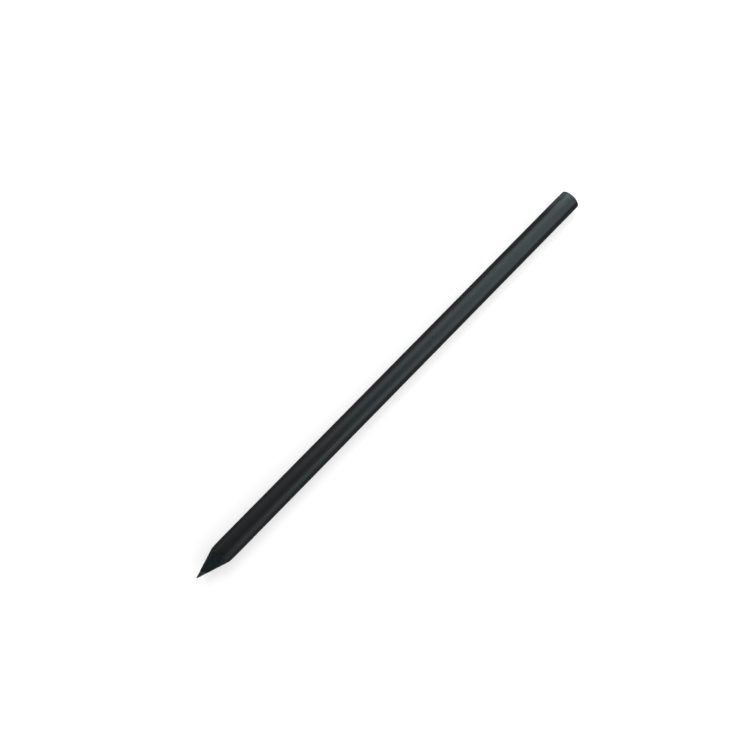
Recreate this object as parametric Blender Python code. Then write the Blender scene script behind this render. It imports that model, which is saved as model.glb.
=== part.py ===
"""A round wood-cased graphite pencil, sharpened, lying on its side with its point towards -X.

It is made in the order that a real one is: two grooved half-round slats are glued round a graphite core, the
barrel is lacquered, and one cut through all of them gives the sharpened point and the eased butt edge.
Metres, +Z up. The origin is on the table, under the middle of the pencil.
"""

import math

import bmesh
import bpy

# Driving dimensions, in metres
LENGTH = 0.178
BARREL_DIAMETER = 0.0073
CORE_DIAMETER = 0.0020
LACQUER_THICKNESS = 0.00012
GLUE_THICKNESS = 0.00008
BOND_GAP = 0.00002  # left open between two pieces that are stuck together

# The sharpened point, which was ground a little off the barrel's axis, towards +Y
POINT_HALF_ANGLE = math.radians(18.1)
POINT_ROUNDING = 0.0002
POINT_OFFSET = 0.00025
POINT_LEAN_LENGTH = 0.027  # the cone's centre line meets the barrel's axis this far behind the tip

# The cut end, with its edge eased
BUTT_CHAMFER = 0.0002

# A flat facet lies at the bottom of the barrel, so that the pencil rests there
BARREL_FACETS = 24
POINT_FACETS = 72
POINT_ROUNDING_STEPS = 4
CUT_ALLOWANCE = 0.001  # how far the blanks and the cut run past the finished size
SHARP_ANGLE = math.radians(16)  # over the turn between two facets, and under the edge of the point

# Worked out from the above
BARREL_RADIUS = BARREL_DIAMETER / 2
WOOD_RADIUS = BARREL_RADIUS - LACQUER_THICKNESS - BOND_GAP
CORE_RADIUS = CORE_DIAMETER / 2
GLUE_BORE = CORE_RADIUS + BOND_GAP
GLUE_RADIUS = GLUE_BORE + GLUE_THICKNESS
GROOVE_RADIUS = GLUE_RADIUS + BOND_GAP
HALF_GLUE = GLUE_THICKNESS / 2
HALF_JOINT = HALF_GLUE + BOND_GAP
TIP_X = -LENGTH / 2
BUTT_X = LENGTH / 2


def clear_scene():
    for obj in list(bpy.data.objects):
        bpy.data.objects.remove(obj)


def painted(name, hex_colour, roughness, metallic=0.0):
    """A Principled material of one sRGB colour."""
    channels = [int(hex_colour[i : i + 2], 16) / 255 for i in (1, 3, 5)]
    linear = [c / 12.92 if c <= 0.04045 else ((c + 0.055) / 1.055) ** 2.4 for c in channels]
    material = bpy.data.materials.new(name)
    material.use_nodes = True
    shader = material.node_tree.nodes["Principled BSDF"]
    shader.inputs["Base Color"].default_value = (*linear, 1)
    shader.inputs["Roughness"].default_value = roughness
    shader.inputs["Metallic"].default_value = metallic
    return material


def arc_corners(apothem, first, last):
    """Corners first to last of the barrel's polygon at this apothem. Corner 0 is just above +Y."""
    radius = apothem / math.cos(math.pi / BARREL_FACETS)
    angles = [(k + 0.5) * math.tau / BARREL_FACETS for k in range(first, last)]
    return [(radius * math.cos(a), radius * math.sin(a)) for a in angles]


def full_round(apothem):
    return arc_corners(apothem, 0, BARREL_FACETS)


def upper_half(apothem, height):
    """The part of the round above this height, from the +Y side over the top to the -Y side."""
    over_the_top = arc_corners(apothem, 0, BARREL_FACETS // 2)
    return [(apothem, height), *over_the_top, (-apothem, height)]


def turned_over(outline):
    return [(-y, -z) for y, z in outline]


def extruded_blank(name, loops, material):
    """A blank along X, longer than the pencil, whose section is the area between these (y, z) loops."""
    mesh = bpy.data.meshes.new(name)
    blank = bmesh.new()
    for loop in loops:
        corners = [blank.verts.new((TIP_X - CUT_ALLOWANCE, y, z)) for y, z in loop]
        for a, b in zip(corners, corners[1:] + corners[:1], strict=True):
            blank.edges.new((a, b))
    section = bmesh.ops.triangle_fill(blank, use_beauty=True, edges=blank.edges[:])
    faces = [f for f in section["geom"] if isinstance(f, bmesh.types.BMFace)]
    far_end = bmesh.ops.extrude_face_region(blank, geom=faces, use_keep_orig=True)
    moved = [v for v in far_end["geom"] if isinstance(v, bmesh.types.BMVert)]
    bmesh.ops.translate(blank, verts=moved, vec=(LENGTH + 2 * CUT_ALLOWANCE, 0, 0))
    bmesh.ops.recalc_face_normals(blank, faces=blank.faces[:])
    blank.to_mesh(mesh)
    blank.free()
    mesh.materials.append(material)
    obj = bpy.data.objects.new(name, mesh)
    bpy.context.collection.objects.link(obj)
    return obj


def finished_profile():
    """(x, radius) from the tip to the butt: rounded tip, cone, clear of the barrel, butt chamfer."""
    sweep = math.pi / 2 - POINT_HALF_ANGLE
    angles = [sweep * i / POINT_ROUNDING_STEPS for i in range(POINT_ROUNDING_STEPS + 1)]
    centre = TIP_X + POINT_ROUNDING
    profile = [(centre - POINT_ROUNDING * math.cos(a), POINT_ROUNDING * math.sin(a)) for a in angles]
    x, radius = profile[-1]
    clear = BARREL_RADIUS + CUT_ALLOWANCE
    profile.append((x + (clear - radius) / math.tan(POINT_HALF_ANGLE), clear))
    profile.append((BUTT_X - BUTT_CHAMFER - CUT_ALLOWANCE, clear))
    profile.append((BUTT_X, BARREL_RADIUS - BUTT_CHAMFER))
    return profile


def finishing_cut():
    """What the sharpener and the end trimmer leave standing, as a solid turned about the axis.

    The cone leans: it is off the axis by POINT_OFFSET at the tip, and by nothing POINT_LEAN_LENGTH behind it.
    """
    profile = finished_profile()
    turned = bmesh.new()
    line = [turned.verts.new((x, 0, radius)) for x, radius in profile]
    for a, b in zip(line, line[1:]):
        turned.edges.new((a, b))
    geometry = turned.verts[:] + turned.edges[:]
    bmesh.ops.spin(turned, geom=geometry, axis=(1, 0, 0), angle=math.tau, steps=POINT_FACETS)
    bmesh.ops.remove_doubles(turned, verts=turned.verts[:], dist=1e-7)
    butt_rim = [e for e in turned.edges if e.is_boundary]
    bmesh.ops.holes_fill(turned, edges=butt_rim, sides=0)
    bmesh.ops.recalc_face_normals(turned, faces=turned.faces[:])
    for vertex in turned.verts:
        share = max(0, 1 - (vertex.co.x - TIP_X) / POINT_LEAN_LENGTH)
        vertex.co.y += POINT_OFFSET * share
    mesh = bpy.data.meshes.new("finishing_cut")
    turned.to_mesh(mesh)
    turned.free()
    obj = bpy.data.objects.new("finishing_cut", mesh)
    obj.hide_render = True
    obj.display_type = "WIRE"
    bpy.context.collection.objects.link(obj)
    return obj


def trim(piece, envelope):
    """Keeps what is inside the envelope, and shades the piece smooth between its real edges."""
    cut = piece.modifiers.new("sharpened_and_trimmed", "BOOLEAN")
    cut.operation = "INTERSECT"
    cut.solver = "EXACT"
    cut.object = envelope
    bpy.context.view_layer.update()
    graph = bpy.context.evaluated_depsgraph_get()
    piece.data = bpy.data.meshes.new_from_object(piece.evaluated_get(graph))
    piece.data.name = piece.name
    piece.modifiers.remove(cut)
    piece.data.shade_smooth()
    piece.data.set_sharp_from_angle(angle=SHARP_ANGLE)


def slat_outline():
    """The upper slat's section: a half-round with a half-round groove in its flat side."""
    outside = upper_half(WOOD_RADIUS, HALF_JOINT)
    groove = upper_half(GROOVE_RADIUS, HALF_JOINT)
    return outside + groove[::-1]


def glue_outline():
    """The glue film's section outside: a ring round the core with a wing to each side."""
    ring_top = upper_half(GLUE_RADIUS, HALF_GLUE)
    top = [(WOOD_RADIUS, HALF_GLUE), *ring_top, (-WOOD_RADIUS, HALF_GLUE)]
    return top + turned_over(top)


def make_pencil():
    dyed_wood = painted("black_dyed_wood", "#22292B", 0.62)
    graphite = painted("fired_graphite", "#4A4C4B", 0.38, 0.35)
    glue = painted("dried_wood_glue", "#3A372F", 0.5)
    lacquer = painted("satin_black_lacquer", "#2B2D2F", 0.36)
    loops_of = {
        "upper_slat": ([slat_outline()], dyed_wood),
        "lower_slat": ([turned_over(slat_outline())], dyed_wood),
        "glue_film": ([glue_outline(), full_round(GLUE_BORE)], glue),
        "graphite_core": ([full_round(CORE_RADIUS)], graphite),
        "lacquer_coat": ([full_round(BARREL_RADIUS), full_round(WOOD_RADIUS + BOND_GAP)], lacquer),
    }
    axis = bpy.data.objects.new("pencil_axis", None)
    axis.location.z = BARREL_RADIUS
    bpy.context.collection.objects.link(axis)
    envelope = finishing_cut()
    envelope.parent = axis
    for name, (loops, material) in loops_of.items():
        piece = extruded_blank(name, loops, material)
        piece.parent = axis
        trim(piece, envelope)


clear_scene()
make_pencil()
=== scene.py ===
"""A sharpened round pencil in its finished looks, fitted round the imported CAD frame.

Laid out as a Blender add-on and run as a script. Metres, +Z up. The pencil lies along X with its point
towards -X, and its axis is AXIS_Z above the table.
"""

import math

import bpy
import numpy as np
from mathutils import Euler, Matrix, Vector


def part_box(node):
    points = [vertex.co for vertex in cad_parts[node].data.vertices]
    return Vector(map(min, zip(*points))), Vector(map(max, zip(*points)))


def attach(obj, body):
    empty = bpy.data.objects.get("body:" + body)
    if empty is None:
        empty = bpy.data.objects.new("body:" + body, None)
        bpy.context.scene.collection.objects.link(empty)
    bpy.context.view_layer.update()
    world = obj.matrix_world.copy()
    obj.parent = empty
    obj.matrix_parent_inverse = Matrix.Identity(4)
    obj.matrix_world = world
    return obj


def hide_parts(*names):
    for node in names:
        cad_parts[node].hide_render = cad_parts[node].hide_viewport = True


bl_info = {
    "name": "Round Graphite Pencil",
    "version": (1, 0, 0),
    "blender": (4, 5, 0),
    "location": "View3D > Sidebar > Pencil",
    "description": "Builds a sharpened round pencil, piece by piece, and a plain studio for it",
    "category": "Object",
}

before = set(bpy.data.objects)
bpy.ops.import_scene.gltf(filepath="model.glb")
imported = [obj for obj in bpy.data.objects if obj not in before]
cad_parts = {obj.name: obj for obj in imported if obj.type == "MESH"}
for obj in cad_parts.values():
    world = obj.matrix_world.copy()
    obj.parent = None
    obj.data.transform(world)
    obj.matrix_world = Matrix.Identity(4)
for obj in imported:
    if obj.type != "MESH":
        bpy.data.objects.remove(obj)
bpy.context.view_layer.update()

MM = 0.001

# Sizes read from the solids of the frame
coat_low, coat_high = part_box("lacquer_coat")
core_low, core_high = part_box("graphite_core")
slat_low, slat_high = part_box("upper_slat")
film_low, film_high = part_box("glue_film")
AXIS_Z = (coat_low.z + coat_high.z) / 2
TIP_X = core_low.x
BUTT_X = core_high.x


def linear(hex_colour):
    """An sRGB hex colour as linear red, green and blue."""
    channels = np.array([int(hex_colour[i : i + 2], 16) for i in (1, 3, 5)]) / 255
    return tuple(np.where(channels <= 0.04045, channels / 12.92, ((channels + 0.055) / 1.055) ** 2.4))


def length(name, description, default):
    """A length in metres that a user may change."""
    return bpy.props.FloatProperty(
        name=name, description=description, default=default, min=0, precision=6, unit="LENGTH"
    )


def colour(name, description, hex_colour):
    """A colour that a user may change."""
    return bpy.props.FloatVectorProperty(
        name=name, description=description, default=linear(hex_colour), min=0, max=1, subtype="COLOR"
    )


class PencilSizes(bpy.types.PropertyGroup):
    """What the pencil measures."""

    barrel_radius: length("Barrel radius", "Outside of the lacquer", (coat_high.z - coat_low.z) / 2)
    lacquer_thickness: length("Lacquer thickness", "Thickness of all the coats together", 0.12 * MM)
    wood_radius: length("Wood radius", "Outside of the wood casing", slat_high.z - AXIS_Z)
    half_joint: length("Half joint", "From the glued joint's middle to the wood", slat_low.z - AXIS_Z)
    core_radius: length("Core radius", "Outside of the graphite core", (core_high.y - core_low.y) / 2)
    glue_radius: length("Glue radius", "Outside of the glue round the core", film_high.z - AXIS_Z)
    glue_thickness: length("Glue thickness", "Thickness of the dried glue", 0.08 * MM)
    bond_gap: length("Bond gap", "Left open between two bonded pieces", 0.02 * MM)
    point_angle: bpy.props.FloatProperty(
        name="Point half-angle",
        description="From the axis to the side of the sharpened cone",
        default=math.radians(18.1),
        subtype="ANGLE",
    )
    tip_radius: length("Tip radius", "Rounding of the very tip", 0.2 * MM)
    tip_offset: length("Tip offset", "How far the point was ground off the axis, towards +Y", 0.25 * MM)
    lean_length: length("Lean length", "The point's lean is gone this far behind the tip", 27.0 * MM)
    butt_chamfer: length("Butt chamfer", "Eased edge of the cut end", 0.2 * MM)
    fibre_relief: length("Fibre relief", "Depth of the torn fibres on the cone", 0.012 * MM)
    end_grain_relief: length("End grain relief", "Depth of pores and cutter lines", 0.010 * MM)
    edge_chips: length("Edge chips", "How far the cone's cut chipped the lacquer back", 0.16 * MM)
    edge_ease: length("Edge ease", "How much thinner the lacquer is at that edge", 0.11 * MM)
    coat_waviness: length("Coat waviness", "How far the lacquer sags along the barrel", 0.006 * MM)
    ring_depth: length("Ring depth", "Depth of the scratches round the graphite point", 0.004 * MM)


class PencilColours(bpy.types.PropertyGroup):
    """The colours of the pencil's materials."""

    lacquer: colour("Lacquer", "Satin black lacquer", "#131112")
    # A paler colour that paints sheen onto the lacquer near the cut end
    lacquer_painted_sheen: colour("Lacquer, painted sheen", "Paler lacquer colour painted near the cut end as sheen", "#3B4243")
    lacquer_sheen: colour("Lacquer sheen", "Tint of what the lacquer reflects", "#DCF5F9")
    wood_dark: colour("Wood, dark", "Dyed wood where the dye went deepest", "#0C1214")
    wood: colour("Wood", "Dyed wood", "#141B1D")
    wood_light: colour("Wood, light", "Dyed wood on a torn or pale fibre", "#252F30")
    graphite_dark: colour("Graphite, dark", "Fired graphite in a scratch", "#0F100E")
    graphite: colour("Graphite", "Fired graphite, polished by the blade", "#1A1C18")
    glue_dark: colour("Glue, dark", "Dried wood glue where the wood drank it", "#1A1815")
    glue: colour("Glue", "Dried wood glue", "#2B2822")


# Meshes


def lattice_noise(seed, x, y, z):
    """Value noise from 0 to 1.

    Seeded random heights stand on a lattice of whole steps, and are blended between neighbours along each
    axis by 3t^2 - 2t^3.
    """
    steps = 64
    heights = np.random.default_rng(seed).random((steps, steps, steps))
    places = np.broadcast_arrays(x, y, z)
    cells = [np.floor(p).astype(int) for p in places]
    parts = [p - c for p, c in zip(places, cells)]
    blends = [t * t * (3 - 2 * t) for t in parts]
    total = np.zeros(places[0].shape)
    for corner in np.ndindex(2, 2, 2):
        weights = [b if side else 1 - b for b, side in zip(blends, corner)]
        index = tuple((c + side) % steps for c, side in zip(cells, corner))
        total += weights[0] * weights[1] * weights[2] * heights[index]
    return total


def grid_quads(rows, columns, wrap_rows, wrap_columns):
    """Four corners for each cell of a grid. A wrapped grid's last row or column joins its first."""
    i = np.arange(rows if wrap_rows else rows - 1)[:, None]
    j = np.arange(columns if wrap_columns else columns - 1)[None, :]
    i_next = (i + 1) % rows
    j_next = (j + 1) % columns
    corners = np.broadcast_arrays(
        i * columns + j, i * columns + j_next, i_next * columns + j_next, i_next * columns + j
    )
    return np.stack(corners, axis=-1).reshape(-1, 4)


def outward(points, quads, others=()):
    """All the faces as lists, turned round if the volume that the quads enclose comes out negative."""
    corners = points[quads[:, :3]]
    volume = np.einsum("ij,ij->i", corners[:, 0], np.cross(corners[:, 1], corners[:, 2])).sum()
    order = 1 if volume > 0 else -1
    return quads[:, ::order].tolist() + [face[::order] for face in others]


def make_piece(name, points, faces, material, node, sharp_angle):
    """Puts the points and faces into a mesh object that stands for one CAD node."""
    mesh = bpy.data.meshes.new(name)
    mesh.from_pydata((points + (0, 0, AXIS_Z)).tolist(), [], faces)
    if mesh.validate():
        raise RuntimeError(f"{name}: the mesh had faults")
    mesh.shade_smooth()
    mesh.set_sharp_from_angle(angle=sharp_angle)
    mesh.materials.append(material)
    obj = bpy.data.objects.new(name, mesh)
    bpy.context.scene.collection.objects.link(obj)
    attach(obj, "root")
    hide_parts(node)
    return obj


def point_x(sizes, y, z):
    """Where the sharpened point passes a place (y, z) of the section.

    It is a cone with a ball for a tip: x is the place's distance from the cone's centre line, divided by
    the tangent of the half-angle and counted from the apex, or the ball's near side close to the tip. The
    centre line leans from tip_offset at the tip to the axis at lean_length behind it, so the distance
    depends on x, and eight rounds settle it.
    """
    slope = math.tan(sizes.point_angle)
    apex = TIP_X + sizes.tip_radius - sizes.tip_radius / math.sin(sizes.point_angle)
    x = np.full(np.shape(y), TIP_X)
    for _ in range(8):
        lean = sizes.tip_offset * (1 - (x - TIP_X) / sizes.lean_length)
        distance = np.hypot(y - lean, z)
        ball = TIP_X + sizes.tip_radius - np.sqrt(np.maximum(sizes.tip_radius**2 - distance**2, 0))
        on_ball = distance < sizes.tip_radius * math.cos(sizes.point_angle)
        x = np.where(on_ball, ball, apex + distance / slope)
    return x


def butt_x(sizes, radius):
    """The cut end: flat, and falling away at 45 degrees over the last butt_chamfer of the radius."""
    return BUTT_X - np.maximum(radius - (sizes.barrel_radius - sizes.butt_chamfer), 0)


def cut_marks(sizes, x, y, z):
    """Depth of the wood's relief on the cone, from 0 to fibre_relief.

    Fibres run along X, so the noise is short across them, 0.10 and 0.34 mm, and long along them. The
    blade of a sharpener adds a faint chatter every 0.42 mm.
    """
    fine = lattice_noise(11, x / (2.6 * MM), y / (0.10 * MM), z / (0.10 * MM))
    broad = lattice_noise(12, x / (5.0 * MM), y / (0.34 * MM), z / (0.34 * MM))
    wander = lattice_noise(13, x / (0.9 * MM), y / (1.2 * MM), z / (1.2 * MM))
    chatter = 0.5 + 0.5 * np.sin(math.tau * (x / (0.42 * MM) + 1.6 * wander))
    torn = np.clip(fine * 1.7 - 0.7, 0, 1) ** 2
    return sizes.fibre_relief * (0.30 * broad + 0.55 * torn + 0.15 * chatter)


def end_marks(sizes, y, z):
    """Depth of the relief on the cut end, from 0 to end_grain_relief.

    Pores are 0.09 mm wide. Cutter lines are 0.33 mm apart, wander a little and lean 20 degrees from
    the vertical.
    """
    pores = lattice_noise(21, 0.5, y / (0.09 * MM), z / (0.09 * MM))
    wander = lattice_noise(22, 0.5, y / (0.8 * MM), z / (0.8 * MM))
    lines = 0.5 + 0.5 * np.sin(math.tau * ((0.94 * y + 0.34 * z) / (0.33 * MM) + 0.8 * wander))
    return sizes.end_grain_relief * (0.65 * np.clip(pores * 1.8 - 0.8, 0, 1) + 0.35 * lines)


def shares(count):
    """Evenly spaced shares from 0 to 1."""
    return np.linspace(0, 1, count)[:, None]


def blend(start, end, share):
    """The value at this share of the way from start to end."""
    return start + (end - start) * share


def lacquer_points(sizes):
    """The coat: a profile carried round the axis, back to where it began.

    The profile goes out across the cone's cut, along the barrel, over the eased edge of the butt and back
    through the bore. Along the barrel the radius is the full one less a slow noise, and less edge_ease at
    the cut, which dies away along the barrel. Chips are where a fine noise and a slow one are both high.
    """
    lip = 0.02 * MM
    ease_length = 1.4 * MM
    fade_rate = 40
    turn = np.linspace(0, math.tau, 384, endpoint=False)[None, :]
    cos, sin = np.cos(turn), np.sin(turn)
    outer = sizes.barrel_radius
    bore = outer - sizes.lacquer_thickness
    front_outer = point_x(sizes, outer * cos, outer * sin)
    front_bore = point_x(sizes, bore * cos, bore * sin)
    ragged = lattice_noise(31, 0.5, outer * cos / (0.22 * MM), outer * sin / (0.22 * MM))
    slow = lattice_noise(32, 0.5, outer * cos / (1.3 * MM), outer * sin / (1.3 * MM))
    chips = sizes.edge_chips * np.clip(1.5 * ragged * slow - 0.25, 0, 1)
    cut_radius = blend(bore, outer - sizes.edge_ease, shares(5)) + 0 * cos
    cut_x = blend(front_bore, front_outer, shares(5)) + chips
    # Rows crowd towards both ends of the barrel, where its shape changes
    along = 0.5 - 0.5 * np.cos(math.pi * shares(104))
    edge_end = butt_x(sizes, bore)
    edge_start = edge_end - sizes.lacquer_thickness
    barrel_x = blend(front_outer + chips + lip, edge_start, along)
    swell = lattice_noise(33, barrel_x / (9 * MM), outer * cos / (5 * MM), outer * sin / (5 * MM))
    inner_part = np.minimum(1, fade_rate * along) * np.minimum(1, fade_rate * (1 - along))
    eased = sizes.edge_ease * np.exp(-(barrel_x - barrel_x[:1]) / ease_length)
    barrel_radius = outer - sizes.coat_waviness * swell * inner_part - eased
    # A quarter of a circle makes the eased edge, from the barrel to the wood's end
    ease = shares(9)[1:] * math.pi / 2
    edge_x = edge_start + sizes.lacquer_thickness * np.sin(ease) + 0 * cos
    edge_radius = bore + sizes.lacquer_thickness * np.cos(ease) + 0 * cos
    bore_x = blend(edge_end, front_bore + chips, shares(4)[1:-1])
    x = np.concatenate([cut_x, barrel_x, edge_x, bore_x])
    radius = np.concatenate([cut_radius, barrel_radius, edge_radius, bore + 0 * bore_x])
    return np.stack([x, radius * cos, radius * sin], axis=-1)


def slat_points(sizes, side):
    """One slat: a closed profile carried over half a turn, from one joint face to the other.

    The profile goes up the cone, along the wood under the lacquer, down the cut end and back through the
    groove. A radius r starts its half turn at the angle whose sine is half_joint / r, which makes both
    joint faces flat. Side is 1 for the upper slat and -1 for the lower one, which is turned over about X.
    """
    groove = sizes.glue_radius + sizes.bond_gap
    sweep = np.linspace(0, 1, 241)[None, :]

    def section(radius):
        first = np.arcsin(sizes.half_joint / radius)
        angle = blend(first, math.pi - first, sweep)
        return side * radius * np.cos(angle), side * radius * np.sin(angle)

    slope = math.tan(sizes.point_angle)
    cone_radius = blend(groove, sizes.wood_radius, shares(130))
    y, z = section(cone_radius)
    x = point_x(sizes, y, z)
    cone = np.stack([x + cut_marks(sizes, x, y, z) / slope, y, z], axis=-1)
    top_x = cone[-1:, :, 0]
    under_radius = sizes.wood_radius + 0 * shares(8)[1:-1]
    y, z = section(under_radius)
    under = np.stack([blend(top_x, butt_x(sizes, sizes.wood_radius), shares(8)[1:-1]), y, z], axis=-1)
    end_radius = blend(sizes.wood_radius, groove, shares(70))
    y, z = section(end_radius)
    end = np.stack([butt_x(sizes, end_radius) - end_marks(sizes, y, z), y, z], axis=-1)
    bore_radius = groove + 0 * shares(5)[1:-1]
    y, z = section(bore_radius)
    bore = np.stack([blend(end[-1:, :, 0], cone[:1, :, 0], shares(5)[1:-1]), y, z], axis=-1)
    return np.concatenate([cone, under, end, bore])


def glue_points(sizes):
    """The glue: a closed profile carried round the section, which is a ring with a wing to each side.

    At each place of the section the profile goes out along the cone's cut, back along the outside, in
    along the cut end and home through the bore. Both cuts lie sunk below the wood, as shrunk glue does.
    """
    sunk = 0.012 * MM
    half = sizes.glue_thickness / 2
    bore = sizes.glue_radius - sizes.glue_thickness
    first = math.asin(half / sizes.glue_radius)
    arc = np.linspace(first, math.pi - first, 97)
    wing = np.linspace(sizes.glue_radius * math.cos(first), sizes.wood_radius, 13)[1:]
    # Each place of a wing is paired with one of the bore, between the wing's root and its middle
    wing_angle = np.linspace(first, 0.3 * first, 13)[1:]
    upper_y = np.concatenate([wing[::-1], sizes.glue_radius * np.cos(arc), -wing])
    upper_z = np.concatenate([half + 0 * wing, sizes.glue_radius * np.sin(arc), half + 0 * wing])
    upper_angle = np.concatenate([wing_angle[::-1], arc, math.pi - wing_angle])
    outer_y = np.concatenate([upper_y, -upper_y])[None, :]
    outer_z = np.concatenate([upper_z, -upper_z])[None, :]
    angle = np.concatenate([upper_angle, upper_angle + math.pi])[None, :]
    inner_y, inner_z = bore * np.cos(angle), bore * np.sin(angle)
    out = shares(9)
    y, z = blend(inner_y, outer_y, out), blend(inner_z, outer_z, out)
    front = np.stack([point_x(sizes, y, z) + sunk / math.tan(sizes.point_angle), y, z], axis=-1)
    back = np.stack([butt_x(sizes, np.hypot(y, z)) - sunk, y, z], axis=-1)[::-1]
    middle = shares(5)[1:-1, :, None]
    outside = blend(front[-1:], back[:1], middle)
    inside = blend(back[-1:], front[:1], middle)
    return np.concatenate([front, outside, back, inside])


def core_points(sizes):
    """The core: rings from the tip to the butt, whose centres go from the tip's place to the axis.

    On the point the ring's share of the core radius sets its place in the section, and point_x its place
    along the pencil. Scratches from the blade are rings cut a little deeper, and fade out towards the
    tip. At the butt the rings close in from a broken edge to the last one round the pole.
    """
    broken_edge = 0.03 * MM
    last_share = 0.04
    scratch_fade = 0.15
    turn = np.linspace(0, math.tau, 160, endpoint=False)[None, :]
    cos, sin = np.cos(turn), np.sin(turn)
    tip = sizes.tip_radius * math.cos(sizes.point_angle) / sizes.core_radius
    share = np.concatenate([tip * np.sin(shares(11)[1:] * math.pi / 2), blend(tip, 1, shares(90)[1:])])
    y = blend(sizes.tip_offset, sizes.core_radius * cos, share)
    z = share * sizes.core_radius * sin
    x = point_x(sizes, y, z)
    scratch = lattice_noise(41, x / (0.07 * MM), y / (1.1 * MM), z / (1.1 * MM))
    wear = lattice_noise(42, x / (0.35 * MM), y / (0.45 * MM), z / (0.45 * MM))
    fade = np.clip((share - tip) / scratch_fade, 0, 1)
    x = x + sizes.ring_depth * fade * (0.6 * scratch + 0.4 * wear) / math.tan(sizes.point_angle)
    point = np.stack([x, y, z], axis=-1)
    rest = blend(x[-1:], BUTT_X - broken_edge, shares(7)[1:])
    side = np.broadcast_arrays(rest, sizes.core_radius * cos, sizes.core_radius * sin)
    barrel = np.stack(side, axis=-1)
    inward = blend(1 - broken_edge / sizes.core_radius, last_share, shares(26))
    y, z = sizes.core_radius * inward * cos, sizes.core_radius * inward * sin
    end = np.stack([BUTT_X - 0.5 * end_marks(sizes, y, z), y, z], axis=-1)
    return np.concatenate([point, barrel, end])


def closed_core(sizes):
    """The core's rings with a point at each pole, and the faces that join them all."""
    rings = core_points(sizes)
    rows, columns = rings.shape[:2]
    poles = np.array([[TIP_X, sizes.tip_offset, 0], [BUTT_X, 0, 0]])
    points = np.concatenate([rings.reshape(-1, 3), poles])
    j = np.arange(columns)
    j_next = (j + 1) % columns
    last = (rows - 1) * columns
    tip_fan = np.stack([j_next, j, 0 * j + rows * columns], axis=-1)
    end_fan = np.stack([last + j, last + j_next, 0 * j + rows * columns + 1], axis=-1)
    fans = np.concatenate([tip_fan, end_fan]).tolist()
    return points, outward(points, grid_quads(rows, columns, False, True), fans)


def closed_ring(grid):
    """Points and faces of a closed profile carried round to where it began."""
    points = grid.reshape(-1, 3)
    return points, outward(points, grid_quads(*grid.shape[:2], True, True))


def capped_sweep(grid):
    """Points and faces of a closed profile carried from one flat cap to another."""
    rows, columns = grid.shape[:2]
    points = grid.reshape(-1, 3)
    first = np.arange(rows) * columns
    caps = [first.tolist(), (first + columns - 1)[::-1].tolist()]
    return points, outward(points, grid_quads(rows, columns, True, False), caps)


# Materials


def add_node(tree, kind, settings, links=None):
    """Adds a node, sets its properties and unlinked inputs, and links the others to their sources."""
    node = tree.nodes.new(kind)
    for key, value in settings.items():
        if isinstance(key, str) and hasattr(node, key):
            setattr(node, key, value)
        else:
            node.inputs[key].default_value = value
    for key, source in (links or {}).items():
        tree.links.new(source, node.inputs[key])
    return node


def new_material(name):
    """A new material and its node tree, emptied."""
    material = bpy.data.materials.new(name)
    material.use_nodes = True
    tree = material.node_tree
    tree.nodes.clear()
    return material, tree


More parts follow.
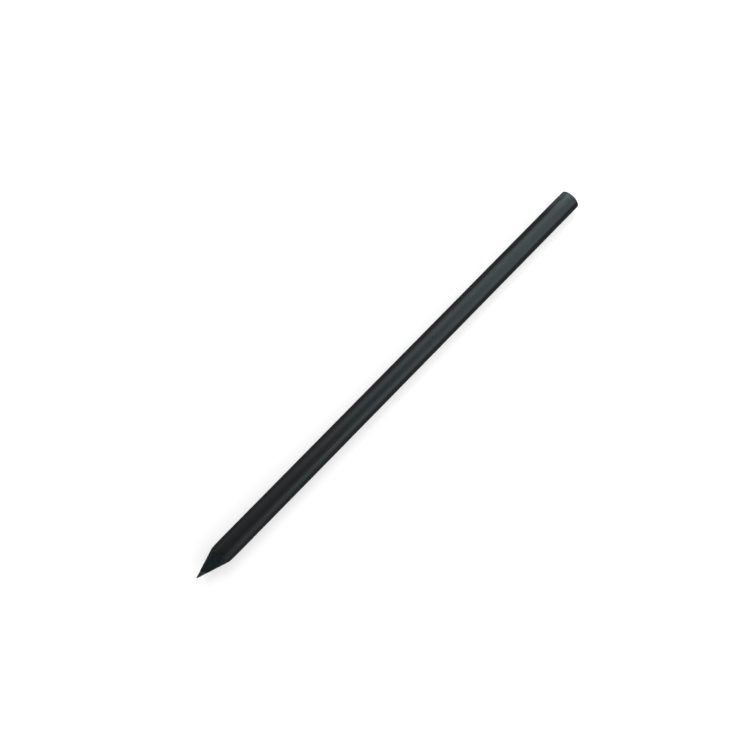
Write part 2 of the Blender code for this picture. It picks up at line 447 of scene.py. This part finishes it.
def sprayed_lacquer(colours):
    """Nitrocellulose lacquer, sprayed in many thin coats and brought to a satin by rubbing.

    It gives the eye a near-black with a broad soft sheen, faintly blue-green and clouded by handling, a
    fine orange peel, a hint of the grain of the wood below it, and a paler colour near the cut end that is
    painted sheen.
    """
    material, tree = new_material("satin_nitrocellulose_lacquer")
    place = add_node(tree, "ShaderNodeTexCoord", {})
    cloud = add_node(
        tree,
        "ShaderNodeTexNoise",
        {"Scale": 1 / (7 * MM), "Detail": 3.0, "Roughness": 0.5},
        {"Vector": place.outputs["Object"]},
    )
    handled = add_node(
        tree, "ShaderNodeMapRange", {"To Min": 0.35, "To Max": 0.42}, {"Value": cloud.outputs["Fac"]}
    )
    # Painted sheen: the colour turns paler over the last 12 mm before the cut end, most on the side towards
    # +Y, in streaky clouds of about 3 mm by 0.7 mm
    axes = add_node(tree, "ShaderNodeSeparateXYZ", {}, {"Vector": place.outputs["Object"]})
    near_end = add_node(
        tree,
        "ShaderNodeMapRange",
        {"interpolation_type": "SMOOTHSTEP", "From Min": BUTT_X - 12 * MM, "From Max": BUTT_X},
        {"Value": axes.outputs["X"]},
    )
    far_side = add_node(
        tree,
        "ShaderNodeMapRange",
        {"interpolation_type": "SMOOTHSTEP", "From Min": -1.5 * MM, "From Max": 3 * MM},
        {"Value": axes.outputs["Y"]},
    )
    sheen_side_mask = add_node(
        tree,
        "ShaderNodeMath",
        {"operation": "MULTIPLY"},
        {0: near_end.outputs["Result"], 1: far_side.outputs["Result"]},
    )
    sheen_streaks = add_node(
        tree,
        "ShaderNodeMapping",
        {"Scale": (1 / (3 * MM), 1 / (0.7 * MM), 1 / (0.7 * MM))},
        {"Vector": place.outputs["Object"]},
    )
    sheen_mottle = add_node(
        tree, "ShaderNodeTexNoise", {"Scale": 1.0, "Detail": 3.0}, {"Vector": sheen_streaks.outputs["Vector"]}
    )
    sheen_patches = add_node(
        tree,
        "ShaderNodeMapRange",
        {"From Min": 0.3, "From Max": 0.7, "To Min": 0.5, "To Max": 1.5},
        {"Value": sheen_mottle.outputs["Fac"]},
    )
    painted_sheen_mask = add_node(
        tree,
        "ShaderNodeMath",
        {"operation": "MULTIPLY", "use_clamp": True},
        {0: sheen_side_mask.outputs["Value"], 1: sheen_patches.outputs["Result"]},
    )
    # The ramp paints the sheen near the cut end into the base colour
    tone = add_node(tree, "ShaderNodeValToRGB", {}, {"Fac": painted_sheen_mask.outputs["Value"]})
    tone.color_ramp.elements[0].color = (*colours.lacquer, 1)
    tone.color_ramp.elements[1].color = (*colours.lacquer_painted_sheen, 1)
    # Edge-on, the matting powder in the coats spreads what they reflect, which keeps the rims dark
    edge = add_node(tree, "ShaderNodeLayerWeight", {})
    matting = add_node(
        tree,
        "ShaderNodeMapRange",
        {"interpolation_type": "SMOOTHSTEP", "From Min": 0.19, "From Max": 0.36, "To Max": 0.62},
        {"Value": edge.outputs["Facing"]},
    )
    rough = add_node(
        tree,
        "ShaderNodeMath",
        {"operation": "ADD", "use_clamp": True},
        {0: handled.outputs["Result"], 1: matting.outputs["Result"]},
    )
    # Grain under the coats: lines about 14 mm long and 0.6 mm apart
    lines = add_node(
        tree,
        "ShaderNodeMapping",
        {"Scale": (1 / (14 * MM), 1 / (0.6 * MM), 1 / (0.6 * MM))},
        {"Vector": place.outputs["Object"]},
    )
    grain = add_node(
        tree, "ShaderNodeTexNoise", {"Scale": 1.0, "Detail": 2.0}, {"Vector": lines.outputs["Vector"]}
    )
    grained = add_node(
        tree,
        "ShaderNodeBump",
        {"Strength": 0.5, "Distance": 0.012 * MM},
        {"Height": grain.outputs["Fac"]},
    )
    # Orange peel of about 0.9 mm
    peel = add_node(
        tree,
        "ShaderNodeTexNoise",
        {"Scale": 1 / (0.9 * MM), "Detail": 1.0},
        {"Vector": place.outputs["Object"]},
    )
    bump = add_node(
        tree,
        "ShaderNodeBump",
        {"Strength": 0.5, "Distance": 0.012 * MM},
        {"Height": peel.outputs["Fac"], "Normal": grained.outputs["Normal"]},
    )
    shader = add_node(
        tree,
        "ShaderNodeBsdfPrincipled",
        {"IOR": 1.5, "Specular IOR Level": 0.265, "Specular Tint": (*colours.lacquer_sheen, 1)},
        {
            "Base Color": tone.outputs["Color"],
            "Roughness": rough.outputs["Value"],
            "Normal": bump.outputs["Normal"],
        },
    )
    add_node(tree, "ShaderNodeOutputMaterial", {}, {"Surface": shader.outputs[0]})
    return material


def dyed_basswood(colours):
    """Basswood dyed black right through, cut by a sharpener's blade on the cone and a saw at the end.

    It gives the eye a dull bluish black with fine paler streaks along the grain, where fibres are torn, and
    the broad faint bands of growth rings.
    """
    material, tree = new_material("black_dyed_basswood")
    place = add_node(tree, "ShaderNodeTexCoord", {})
    # Fibres: about 5 mm long and, to show in the render, 0.28 mm wide
    grain = add_node(
        tree,
        "ShaderNodeMapping",
        {"Scale": (1 / (5 * MM), 1 / (0.28 * MM), 1 / (0.28 * MM))},
        {"Vector": place.outputs["Object"]},
    )
    fibre = add_node(
        tree,
        "ShaderNodeTexNoise",
        {"Scale": 1.0, "Detail": 3.0, "Roughness": 0.6},
        {"Vector": grain.outputs["Vector"]},
    )
    # Growth rings: about 1.5 mm apart, cut along their length
    year = add_node(
        tree,
        "ShaderNodeMapping",
        {"Rotation": (math.radians(25), 0, 0), "Scale": (1 / (60 * MM), 1 / (1.5 * MM), 1 / (9 * MM))},
        {"Vector": place.outputs["Object"]},
    )
    ring = add_node(
        tree, "ShaderNodeTexNoise", {"Scale": 1.0, "Detail": 1.0}, {"Vector": year.outputs["Vector"]}
    )
    figure = add_node(
        tree, "ShaderNodeMix", {"Factor": 0.35}, {"A": fibre.outputs["Fac"], "B": ring.outputs["Fac"]}
    )
    tone = add_node(tree, "ShaderNodeValToRGB", {}, {"Fac": figure.outputs["Result"]})
    ramp = tone.color_ramp
    ramp.elements[0].position = 0.32
    ramp.elements[0].color = (*colours.wood_dark, 1)
    ramp.elements[1].position = 0.68
    ramp.elements[1].color = (*colours.wood_light, 1)
    ramp.elements.new(0.50).color = (*colours.wood, 1)
    bump = add_node(
        tree,
        "ShaderNodeBump",
        {"Strength": 0.4, "Distance": 0.02 * MM},
        {"Height": fibre.outputs["Fac"]},
    )
    shader = add_node(
        tree,
        "ShaderNodeBsdfPrincipled",
        {"Roughness": 0.85, "IOR": 1.5, "Specular IOR Level": 0.1},
        {"Base Color": tone.outputs["Color"], "Normal": bump.outputs["Normal"]},
    )
    add_node(tree, "ShaderNodeOutputMaterial", {}, {"Surface": shader.outputs[0]})
    return material


def fired_graphite(colours):
    """Graphite and clay, fired and waxed, ground to a point by the blade.

    It gives the eye a dark grey with a soft metallic shine, crossed by scratches that run round the point,
    and a fine grain that shows on the cut end.
    """
    material, tree = new_material("fired_graphite_and_clay")
    place = add_node(tree, "ShaderNodeTexCoord", {})
    # Scratches round the point, 0.16 mm apart so that they show
    around = add_node(
        tree,
        "ShaderNodeMapping",
        {"Scale": (1 / (0.16 * MM), 1 / (1.6 * MM), 1 / (1.6 * MM))},
        {"Vector": place.outputs["Object"]},
    )
    scratch = add_node(
        tree, "ShaderNodeTexNoise", {"Scale": 1.0, "Detail": 4.0}, {"Vector": around.outputs["Vector"]}
    )
    # Flakes of graphite in the clay, drawn 0.12 mm wide to show
    flake = add_node(
        tree,
        "ShaderNodeTexNoise",
        {"Scale": 1 / (0.12 * MM), "Detail": 2.0},
        {"Vector": place.outputs["Object"]},
    )
    worn = add_node(
        tree,
        "ShaderNodeMix",
        {"Factor": 0.45},
        {"A": scratch.outputs["Fac"], "B": flake.outputs["Fac"]},
    )
    tone = add_node(tree, "ShaderNodeValToRGB", {}, {"Fac": worn.outputs["Result"]})
    ramp = tone.color_ramp
    ramp.elements[0].position = 0.36
    ramp.elements[0].color = (*colours.graphite_dark, 1)
    ramp.elements[1].position = 0.62
    ramp.elements[1].color = (*colours.graphite, 1)
    rough = add_node(
        tree, "ShaderNodeMapRange", {"To Min": 0.50, "To Max": 0.30}, {"Value": worn.outputs["Result"]}
    )
    bump = add_node(
        tree,
        "ShaderNodeBump",
        {"Strength": 0.4, "Distance": 0.012 * MM},
        {"Height": worn.outputs["Result"]},
    )
    shader = add_node(
        tree,
        "ShaderNodeBsdfPrincipled",
        {"IOR": 1.6},
        {
            "Base Color": tone.outputs["Color"],
            "Roughness": rough.outputs["Result"],
            "Normal": bump.outputs["Normal"],
        },
    )
    add_node(tree, "ShaderNodeOutputMaterial", {}, {"Surface": shader.outputs[0]})
    return material


def dried_wood_glue(colours):
    """White wood glue, dried clear over dyed wood and cut with it.

    It gives the eye a brownish dark hairline with a little gloss, duller where the wood drank it.
    """
    material, tree = new_material("dried_wood_glue")
    place = add_node(tree, "ShaderNodeTexCoord", {})
    # Clouds of about 0.4 mm
    cloud = add_node(
        tree,
        "ShaderNodeTexNoise",
        {"Scale": 1 / (0.4 * MM), "Detail": 2.0},
        {"Vector": place.outputs["Object"]},
    )
    tone = add_node(tree, "ShaderNodeValToRGB", {}, {"Fac": cloud.outputs["Fac"]})
    ramp = tone.color_ramp
    ramp.elements[0].position = 0.36
    ramp.elements[0].color = (*colours.glue_dark, 1)
    ramp.elements[1].position = 0.62
    ramp.elements[1].color = (*colours.glue, 1)
    rough = add_node(
        tree, "ShaderNodeMapRange", {"To Min": 0.62, "To Max": 0.40}, {"Value": cloud.outputs["Fac"]}
    )
    shader = add_node(
        tree,
        "ShaderNodeBsdfPrincipled",
        {"IOR": 1.47, "Specular IOR Level": 0.3},
        {"Base Color": tone.outputs["Color"], "Roughness": rough.outputs["Result"]},
    )
    add_node(tree, "ShaderNodeOutputMaterial", {}, {"Surface": shader.outputs[0]})
    return material


# Stage

# The camera is level. Its lens, place and aim were worked out from the pencil's outline in the picture
CAMERA_LENS = 42.91
CAMERA_AZIMUTH = math.radians(-45.93)
CAMERA_ELEVATION = math.radians(78.42)
CAMERA_DISTANCE = 0.2965
CAMERA_AIM = Vector((-0.00245, 0.00534, AXIS_Z))

# Soft boxes: lean towards +X and +Y in degrees, size along and across in metres, radiance
SOFT_BOXES = {
    "far_side_box": (30, 40, 0.64, 0.52, 4.05),
    "near_side_box": (28.4, -56, 0.67, 0.46, 3.65),
    "end_box": (26.5, -6, 0.19, 0.85, 7.3),
}
BOX_DISTANCE = 0.8

# The paper's own light near the pencil and far out, and the distances between which it grows
FLOOR_RADIUS = 4.0
FLOOR_GLOW = (0.47, 0.72)
FLOOR_GLOW_REACH = (0.2, 1.2)

# The world's light round the horizon and overhead, and the heights between which it falls
SKY_LIGHT = (0.85, 0.08)
SKY_HEIGHT = (0.3, 0.6)


def add_soft_box(name, lean_x, lean_y, along, across, radiance):
    """A rectangular white lamp that faces the pencil. Its power is pi times radiance times area."""
    lamp = bpy.data.lights.new(name, "AREA")
    lamp.shape = "RECTANGLE"
    lamp.size = along
    lamp.size_y = across
    lamp.energy = math.pi * radiance * along * across
    obj = bpy.data.objects.new(name, lamp)
    towards = Vector((math.tan(math.radians(lean_x)), math.tan(math.radians(lean_y)), 1)).normalized()
    obj.location = Vector((0, 0, AXIS_Z)) + towards * BOX_DISTANCE
    across_axis = towards.cross(Vector((1, 0, 0))).normalized()
    along_axis = across_axis.cross(towards)
    turn = obj.matrix_world.to_3x3()
    turn.col[0] = along_axis
    turn.col[1] = across_axis
    turn.col[2] = along_axis.cross(across_axis)
    obj.rotation_euler = turn.to_euler()
    obj.visible_camera = False
    bpy.context.scene.collection.objects.link(obj)
    return obj


def paper_floor():
    """White paper: a matte white that keeps the pencil's shadow.

    Some light of its own, for rays from the camera, reflections and glass, lifts it to a plain white. There
    is more of it far out, where the lamps no longer reach, so that the floor runs into the horizon unseen.
    """
    material, tree = new_material("white_paper")
    place = add_node(tree, "ShaderNodeTexCoord", {})
    away = add_node(tree, "ShaderNodeVectorMath", {"operation": "LENGTH"}, {0: place.outputs["Object"]})
    lift = add_node(
        tree,
        "ShaderNodeMapRange",
        {
            "From Min": FLOOR_GLOW_REACH[0],
            "From Max": FLOOR_GLOW_REACH[1],
            "To Min": FLOOR_GLOW[0],
            "To Max": FLOOR_GLOW[1],
        },
        {"Value": away.outputs["Value"]},
    )
    path = add_node(tree, "ShaderNodeLightPath", {})
    seen = add_node(
        tree,
        "ShaderNodeMath",
        {"operation": "MAXIMUM"},
        {0: path.outputs["Is Camera Ray"], 1: path.outputs["Is Glossy Ray"]},
    )
    shown = add_node(
        tree,
        "ShaderNodeMath",
        {"operation": "MAXIMUM"},
        {0: seen.outputs["Value"], 1: path.outputs["Is Transmission Ray"]},
    )
    strength = add_node(
        tree,
        "ShaderNodeMath",
        {"operation": "MULTIPLY"},
        {0: shown.outputs["Value"], 1: lift.outputs["Result"]},
    )
    paper = add_node(tree, "ShaderNodeBsdfDiffuse", {"Color": (*linear("#C0C0C0"), 1)})
    glow = add_node(tree, "ShaderNodeEmission", {}, {"Strength": strength.outputs["Value"]})
    both = add_node(tree, "ShaderNodeAddShader", {}, {0: paper.outputs[0], 1: glow.outputs[0]})
    add_node(tree, "ShaderNodeOutputMaterial", {}, {"Surface": both.outputs[0]})
    return material


def studio_world():
    """White round the horizon, which low views see, and dim overhead: the lamps shape the sheen."""
    world = bpy.data.worlds.new("studio")
    world.use_nodes = True
    tree = world.node_tree
    tree.nodes.clear()
    place = add_node(tree, "ShaderNodeTexCoord", {})
    height = add_node(tree, "ShaderNodeSeparateXYZ", {}, {"Vector": place.outputs["Generated"]})
    level = add_node(
        tree,
        "ShaderNodeMapRange",
        {
            "interpolation_type": "SMOOTHSTEP",
            "From Min": SKY_HEIGHT[0],
            "From Max": SKY_HEIGHT[1],
            "To Min": SKY_LIGHT[0],
            "To Max": SKY_LIGHT[1],
        },
        {"Value": height.outputs["Z"]},
    )
    sky = add_node(
        tree, "ShaderNodeBackground", {"Color": (1, 1, 1, 1)}, {"Strength": level.outputs["Result"]}
    )
    add_node(tree, "ShaderNodeOutputWorld", {}, {"Surface": sky.outputs[0]})
    return world


# Operators

# Turns from which an edge is drawn sharp. The lacquer's is higher, because its butt edge is a round
COAT_SHARP_ANGLE = math.radians(50)
CUT_SHARP_ANGLE = math.radians(40)


class PENCIL_OT_lacquer_coat(bpy.types.Operator):
    """Builds the satin black lacquer on the barrel"""

    bl_idname = "pencil.lacquer_coat"
    bl_label = "Lacquer Coat"

    def execute(self, context):
        sizes = context.scene.pencil_sizes
        material = sprayed_lacquer(context.scene.pencil_colours)
        points, faces = closed_ring(lacquer_points(sizes))
        coat = make_piece("satin_lacquer", points, faces, material, "lacquer_coat", COAT_SHARP_ANGLE)
        return {"FINISHED"}


class PENCIL_OT_wood_slats(bpy.types.Operator):
    """Builds the two grooved halves of the dyed wood casing"""

    bl_idname = "pencil.wood_slats"
    bl_label = "Wood Slats"

    def execute(self, context):
        sizes = context.scene.pencil_sizes
        material = dyed_basswood(context.scene.pencil_colours)
        for name, node, side in (("wood_above", "upper_slat", 1), ("wood_below", "lower_slat", -1)):
            points, faces = capped_sweep(slat_points(sizes, side))
            slat = make_piece(name, points, faces, material, node, CUT_SHARP_ANGLE)
        return {"FINISHED"}


class PENCIL_OT_glue_film(bpy.types.Operator):
    """Builds the dried glue between the slats and round the core"""

    bl_idname = "pencil.glue_film"
    bl_label = "Glue Film"

    def execute(self, context):
        sizes = context.scene.pencil_sizes
        material = dried_wood_glue(context.scene.pencil_colours)
        points, faces = closed_ring(glue_points(sizes))
        film = make_piece("dried_glue", points, faces, material, "glue_film", CUT_SHARP_ANGLE)
        return {"FINISHED"}


class PENCIL_OT_graphite_core(bpy.types.Operator):
    """Builds the graphite core with its sharpened point"""

    bl_idname = "pencil.graphite_core"
    bl_label = "Graphite Core"

    def execute(self, context):
        material = fired_graphite(context.scene.pencil_colours)
        points, faces = closed_core(context.scene.pencil_sizes)
        core = make_piece("graphite_lead", points, faces, material, "graphite_core", CUT_SHARP_ANGLE)
        return {"FINISHED"}


class PENCIL_OT_stage(bpy.types.Operator):
    """Builds the paper floor, the soft boxes, the world and the camera"""

    bl_idname = "pencil.stage"
    bl_label = "Stage"

    def execute(self, context):
        scene = context.scene
        mesh = bpy.data.meshes.new("paper")
        turn = np.linspace(0, math.tau, 96, endpoint=False)
        rim = FLOOR_RADIUS * np.stack([np.cos(turn), np.sin(turn), 0 * turn], axis=-1)
        mesh.from_pydata(rim.tolist(), [], [list(range(len(rim)))])
        mesh.materials.append(paper_floor())
        floor = bpy.data.objects.new("paper", mesh)
        scene.collection.objects.link(floor)
        boxes = [add_soft_box(name, *values) for name, values in SOFT_BOXES.items()]
        scene.world = studio_world()
        scene.view_settings.view_transform = "Standard"
        camera = bpy.data.objects.new("camera", bpy.data.cameras.new("camera"))
        camera.data.lens = CAMERA_LENS
        camera.data.clip_start = 5 * MM
        turned = Euler((math.pi / 2 - CAMERA_ELEVATION, 0, CAMERA_AZIMUTH))
        camera.rotation_euler = turned
        camera.location = CAMERA_AIM + turned.to_matrix() @ Vector((0, 0, CAMERA_DISTANCE))
        scene.collection.objects.link(camera)
        scene.camera = camera
        return {"FINISHED"}


class PENCIL_PT_sidebar(bpy.types.Panel):
    """Lists the pencil's pieces in the order in which they are built"""

    bl_idname = "PENCIL_PT_sidebar"
    bl_label = "Round Graphite Pencil"
    bl_space_type = "VIEW_3D"
    bl_region_type = "UI"
    bl_category = "Pencil"

    def draw(self, context):
        column = self.layout.column()
        for operator in OPERATORS:
            column.operator(operator.bl_idname)
        for group in (context.scene.pencil_sizes, context.scene.pencil_colours):
            for name in group.__annotations__:
                column.prop(group, name)


OPERATORS = (
    PENCIL_OT_lacquer_coat,
    PENCIL_OT_wood_slats,
    PENCIL_OT_glue_film,
    PENCIL_OT_graphite_core,
    PENCIL_OT_stage,
)
CLASSES = (PencilSizes, PencilColours, *OPERATORS, PENCIL_PT_sidebar)


def register():
    for kind in CLASSES:
        bpy.utils.register_class(kind)
    bpy.types.Scene.pencil_sizes = bpy.props.PointerProperty(type=PencilSizes)
    bpy.types.Scene.pencil_colours = bpy.props.PointerProperty(type=PencilColours)


def unregister():
    del bpy.types.Scene.pencil_colours
    del bpy.types.Scene.pencil_sizes
    for kind in reversed(CLASSES):
        bpy.utils.unregister_class(kind)


def main():
    register()
    bpy.ops.pencil.lacquer_coat()
    bpy.ops.pencil.wood_slats()
    bpy.ops.pencil.glue_film()
    bpy.ops.pencil.graphite_core()
    bpy.ops.pencil.stage()


if __name__ == "__main__":
    main()
